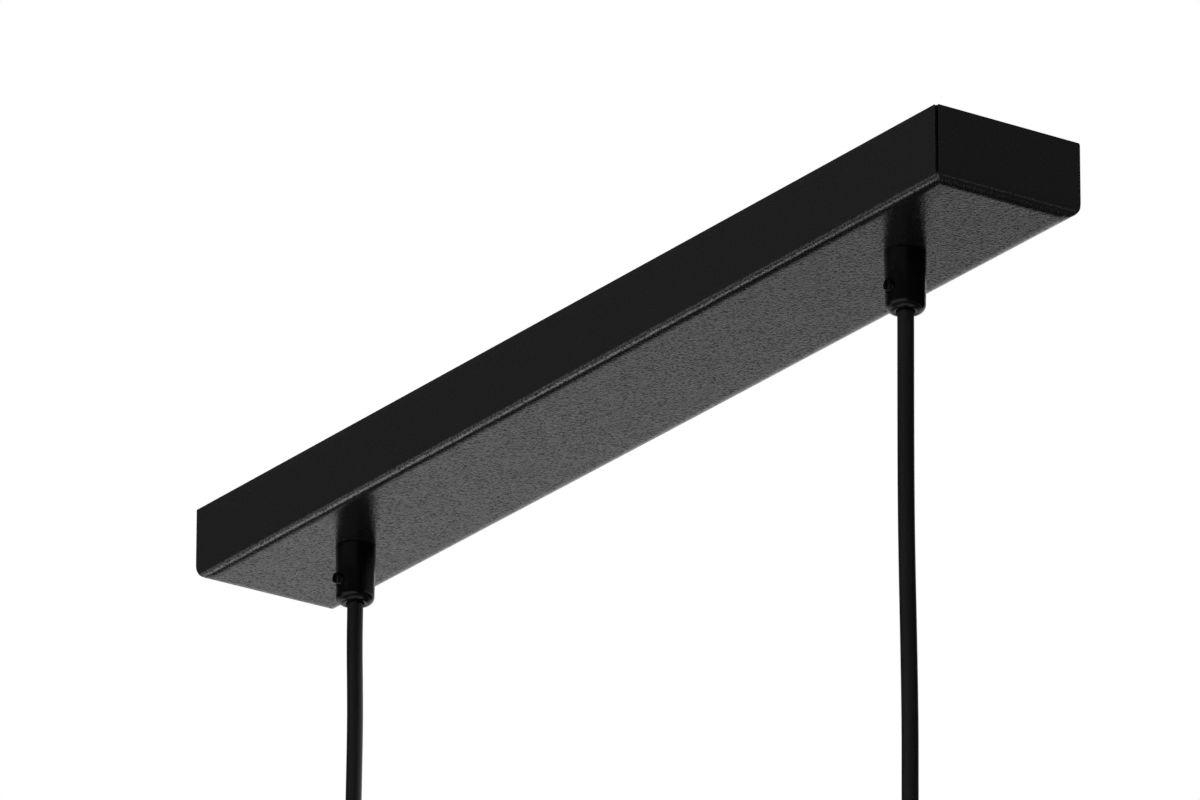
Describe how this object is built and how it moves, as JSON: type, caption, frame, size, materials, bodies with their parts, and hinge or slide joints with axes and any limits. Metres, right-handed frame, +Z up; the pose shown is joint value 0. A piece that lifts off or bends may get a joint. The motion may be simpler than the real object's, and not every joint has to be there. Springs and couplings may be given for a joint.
{
  "type": "pendant light",
  "caption": "Ceiling bar pendant: long folded black steel canopy with moulded cord grips, from which cords with screw-base lampholders hang and swing.",
  "frame": {"origin": "middle of the bar on the ceiling plane, at the top face of the bracket", "axes": "+X along the bar towards the end that is nearer in the picture, +Y towards the back with the fixing screws, +Z up into the ceiling"},
  "size_m": [0.45, 0.0624, 0.3225],
  "materials": {
    "powder_coat": "fine-textured matt black powder coat",
    "black_screw": "black oxide",
    "zinc_steel": "bright zinc plate",
    "tinned_copper": "tinned",
    "brass": "bare brass",
    "nickel_sleeve": "nickel plated",
    "natural_nylon": "natural moulded nylon",
    "steatite": "pressed white steatite",
    "grip_nylon": "moulded satin black",
    "holder_thermoplastic": "moulded satin black",
    "cord_sheath": "smooth black PVC",
    "brown_insulation": "smooth brown PVC",
    "blue_insulation": "smooth blue PVC",
    "earth_insulation": "green and yellow striped PVC"
  },
  "bodies": {
    "bracket": {"mounting_bracket": "zinc_steel"},
    "canopy": {"canopy": "powder_coat", "canopy_screws": "black_screw", "canopy_nuts": "zinc_steel", "terminal_block": "natural_nylon", "terminal_inserts": "brass", "terminal_screws": "zinc_steel", "block_nuts": "zinc_steel", "earth_washer": "zinc_steel", "earth_lug": "tinned_copper", "earth_nut": "zinc_steel", "earth_wire": "earth_insulation", "left_cord_grip": "grip_nylon", "right_cord_grip": "grip_nylon", "left_lock_washer": "zinc_steel", "right_lock_washer": "zinc_steel", "left_grip_nut": "zinc_steel", "right_grip_nut": "zinc_steel", "left_held_cord": "cord_sheath", "right_held_cord": "cord_sheath", "left_brown_wire": "brown_insulation", "right_brown_wire": "brown_insulation", "left_blue_wire": "blue_insulation", "right_blue_wire": "blue_insulation"},
    "left_clamp": {"left_clamp_screw": "grip_nylon"},
    "left_neck": {"left_cord_neck": "cord_sheath"},
    "left_pendant": {"left_cord": "cord_sheath", "left_holder_grip": "grip_nylon", "left_holder_cap": "holder_thermoplastic", "left_holder_shell": "holder_thermoplastic", "left_contact_carrier": "steatite", "left_contact_screws": "zinc_steel", "left_centre_contact": "brass", "left_screw_sleeve": "nickel_sleeve"},
    "left_holder_clamp": {"left_holder_screw": "grip_nylon"},
    "left_ring": {"left_shade_ring": "holder_thermoplastic"},
    "right_clamp": {"right_clamp_screw": "grip_nylon"},
    "right_neck": {"right_cord_neck": "cord_sheath"},
    "right_pendant": {"right_cord": "cord_sheath", "right_holder_grip": "grip_nylon", "right_holder_cap": "holder_thermoplastic", "right_holder_shell": "holder_thermoplastic", "right_contact_carrier": "steatite", "right_contact_screws": "zinc_steel", "right_centre_contact": "brass", "right_screw_sleeve": "nickel_sleeve"},
    "right_holder_clamp": {"right_holder_screw": "grip_nylon"},
    "right_ring": {"right_shade_ring": "holder_thermoplastic"}
  },
  "joints": [
    {"name": "canopy_drop", "type": "slide", "parent": "bracket", "child": "canopy", "axis": [0, 0, -1], "range_m": [0, 0.04]},
    {"name": "left_clamp_out", "type": "slide", "parent": "canopy", "child": "left_clamp", "axis": [0, -1, 0], "range_m": [0, 0.003]},
    {"name": "left_swing_across", "type": "hinge", "parent": "canopy", "child": "left_neck", "pos_m": [-0.166, 0, -0.048], "axis": [1, 0, 0], "range_deg": [-25, 25]},
    {"name": "left_swing_along", "type": "hinge", "parent": "left_neck", "child": "left_pendant", "pos_m": [-0.166, 0, -0.072], "axis": [0, 1, 0], "range_deg": [-25, 25]},
    {"name": "left_holder_clamp_out", "type": "slide", "parent": "left_pendant", "child": "left_holder_clamp", "axis": [0, -1, 0], "range_m": [0, 0.003]},
    {"name": "left_ring_down", "type": "slide", "parent": "left_pendant", "child": "left_ring", "axis": [0, 0, -1], "range_m": [0, 0.026]},
    {"name": "right_clamp_out", "type": "slide", "parent": "canopy", "child": "right_clamp", "axis": [0, -1, 0], "range_m": [0, 0.003]},
    {"name": "right_swing_across", "type": "hinge", "parent": "canopy", "child": "right_neck", "pos_m": [0.166, 0, -0.048], "axis": [1, 0, 0], "range_deg": [-25, 25]},
    {"name": "right_swing_along", "type": "hinge", "parent": "right_neck", "child": "right_pendant", "pos_m": [0.166, 0, -0.072], "axis": [0, 1, 0], "range_deg": [-25, 25]},
    {"name": "right_holder_clamp_out", "type": "slide", "parent": "right_pendant", "child": "right_holder_clamp", "axis": [0, -1, 0], "range_m": [0, 0.003]},
    {"name": "right_ring_down", "type": "slide", "parent": "right_pendant", "child": "right_ring", "axis": [0, 0, -1], "range_m": [0, 0.026]}
  ]
}
